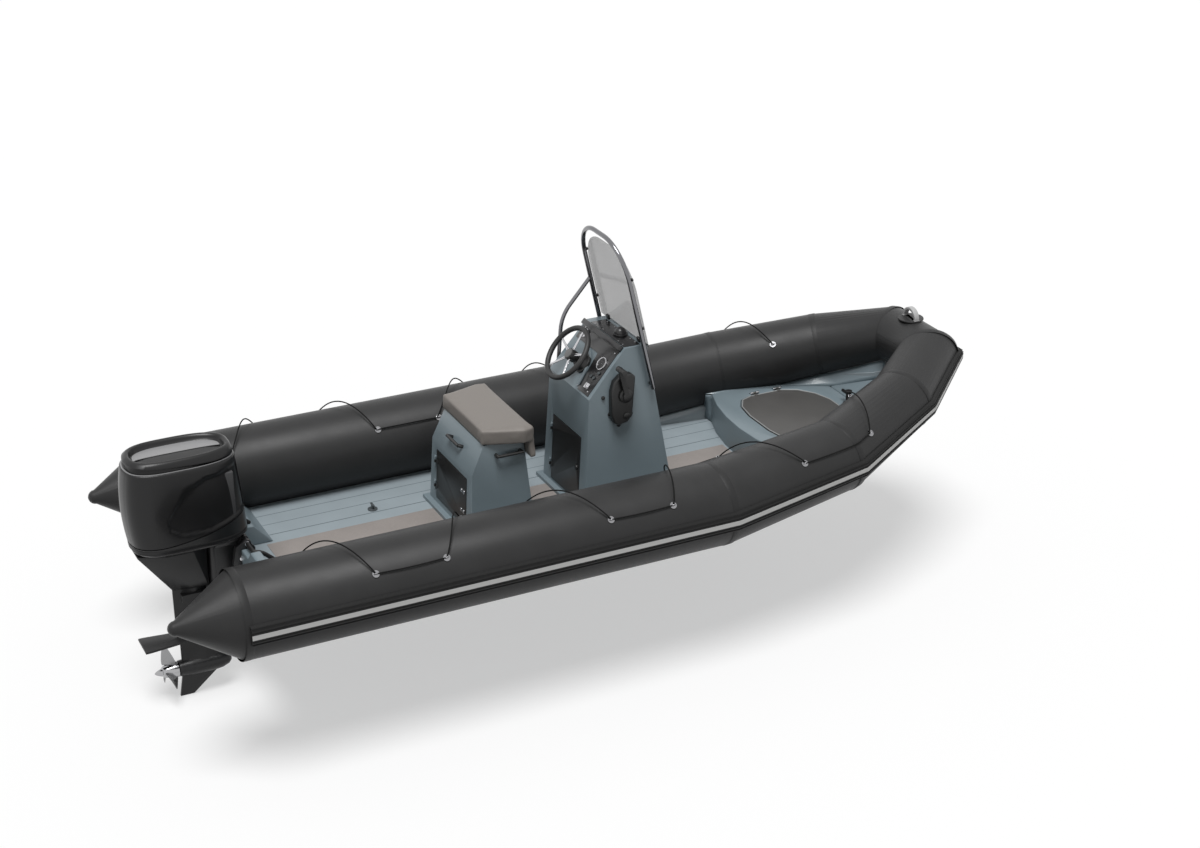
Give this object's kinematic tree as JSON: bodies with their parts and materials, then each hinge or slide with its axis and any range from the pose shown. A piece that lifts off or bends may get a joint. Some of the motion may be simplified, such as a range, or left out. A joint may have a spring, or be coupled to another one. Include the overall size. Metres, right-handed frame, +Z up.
{
  "type": "rigid inflatable boat",
  "caption": "Open rigid inflatable boat with centre console, windscreen, seat, bow locker and a tilting, steering outboard motor with a turning propeller.",
  "frame": {"origin": "on the centreline at the waterline, close to midships, on the mount waterline", "axes": "+Y aft, bow towards -Y, +X to port, +Z up"},
  "size_m": [2.2514, 5.3747, 2.4019],
  "materials": {
    "tube_fabric": "satin coated fabric",
    "strake_rubber": "ribbed matte rubber",
    "stripe_rubber": "matte",
    "hull_grp": "gloss gelcoat",
    "deck_grp": "non-slip gelcoat",
    "deck_mat": "matte",
    "moulding_grp": "gloss gelcoat",
    "handle_plastic": "matte",
    "eyelet_metal": "polished",
    "fitting_metal": "polished stainless",
    "lid_plastic": "matte",
    "black_plastic": "matte",
    "latch_plastic": "satin",
    "cushion_vinyl": "matte vinyl",
    "dash_black": "satin",
    "gauge_ring": "polished",
    "wheel_black": "satin",
    "screen_clear": "tinted clear",
    "bracket_metal": "black satin",
    "ram_metal": "satin",
    "leg_metal": "black gloss",
    "engine_metal": "cast",
    "cowl_plastic": "black gloss",
    "propeller_metal": "satin"
  },
  "bodies": {
    "boat": {"vee_hull": "hull_grp", "deck": "deck_grp", "deck_strip": "deck_mat", "stern_moulding": "moulding_grp", "transom": "moulding_grp", "tube_starboard": "tube_fabric", "tube_port": "tube_fabric", "tube_bow": "tube_fabric", "strake_starboard": "strake_rubber", "strake_port": "strake_rubber", "strake_bow": "strake_rubber", "strake_stripe": "stripe_rubber", "bow_handle": "handle_plastic", "lifeline_eyelets": "eyelet_metal", "bow_deck": "moulding_grp", "bow_locker": "moulding_grp", "locker_hinges": "fitting_metal", "bow_cleat": "black_plastic", "bow_eye": "fitting_metal", "stern_eyes": "fitting_metal", "deck_fittings": "latch_plastic", "seat_box": "moulding_grp", "seat_cushion": "cushion_vinyl", "seat_handles": "black_plastic", "console_body": "moulding_grp", "dash_panel": "dash_black", "gauges": "gauge_ring", "compass": "black_plastic", "helm_bezel": "black_plastic", "remote_control": "black_plastic", "throttle_lever": "black_plastic", "windscreen": "screen_clear", "screen_hoop": "fitting_metal", "screen_fittings": "fitting_metal", "clamp_bracket": "bracket_metal", "tilt_ram": "ram_metal"},
    "locker_lid": {"locker_lid": "lid_plastic", "locker_latch": "fitting_metal"},
    "seat_door": {"seat_door": "black_plastic", "seat_latches": "latch_plastic"},
    "console_door": {"console_door": "black_plastic"},
    "steering_wheel": {"steering_wheel": "wheel_black"},
    "swivel": {"swivel_bracket": "bracket_metal"},
    "motor": {"motor_leg": "leg_metal", "powerhead": "engine_metal", "lower_cowl": "cowl_plastic", "top_cowl": "cowl_plastic"},
    "propeller": {"propeller": "propeller_metal"}
  },
  "joints": [
    {"name": "locker_lid_hinge", "type": "hinge", "parent": "boat", "child": "locker_lid", "pos_m": [0.404, -1.685, 0.309], "axis": [0, 1, 0], "range_deg": [0, 60]},
    {"name": "seat_door_hinge", "type": "hinge", "parent": "boat", "child": "seat_door", "pos_m": [0.234, 0.72035, 0.15538], "axis": [0, 0.0479, -0.9989], "range_deg": [0, 110]},
    {"name": "console_door_hinge", "type": "hinge", "parent": "boat", "child": "console_door", "pos_m": [0.199, -0.0242, 0.14044], "axis": [0, 0.0547, -0.9985], "range_deg": [0, 50]},
    {"name": "steering_wheel_turn", "type": "hinge", "parent": "boat", "child": "steering_wheel", "pos_m": [0, -0.16742, 0.94406], "axis": [0, 0.7604, 0.6494], "range_deg": [-540, 540]},
    {"name": "motor_tilt", "type": "hinge", "parent": "boat", "child": "swivel", "pos_m": [0, 1.995, 0.314], "axis": [1, 0, 0], "range_deg": [0, 60]},
    {"name": "motor_steer", "type": "hinge", "parent": "swivel", "child": "motor", "pos_m": [0, 2.16, 0.2], "axis": [0, 0, 1], "range_deg": [-30, 30]},
    {"name": "propeller_spin", "type": "hinge", "parent": "motor", "child": "propeller", "pos_m": [0, 2.4, -0.46], "axis": [0, 1, 0], "continuous": true}
  ],
  "couplings": [
    {"joint": "steering_wheel_turn", "follows": "motor_steer", "ratio": -18}
  ]
}
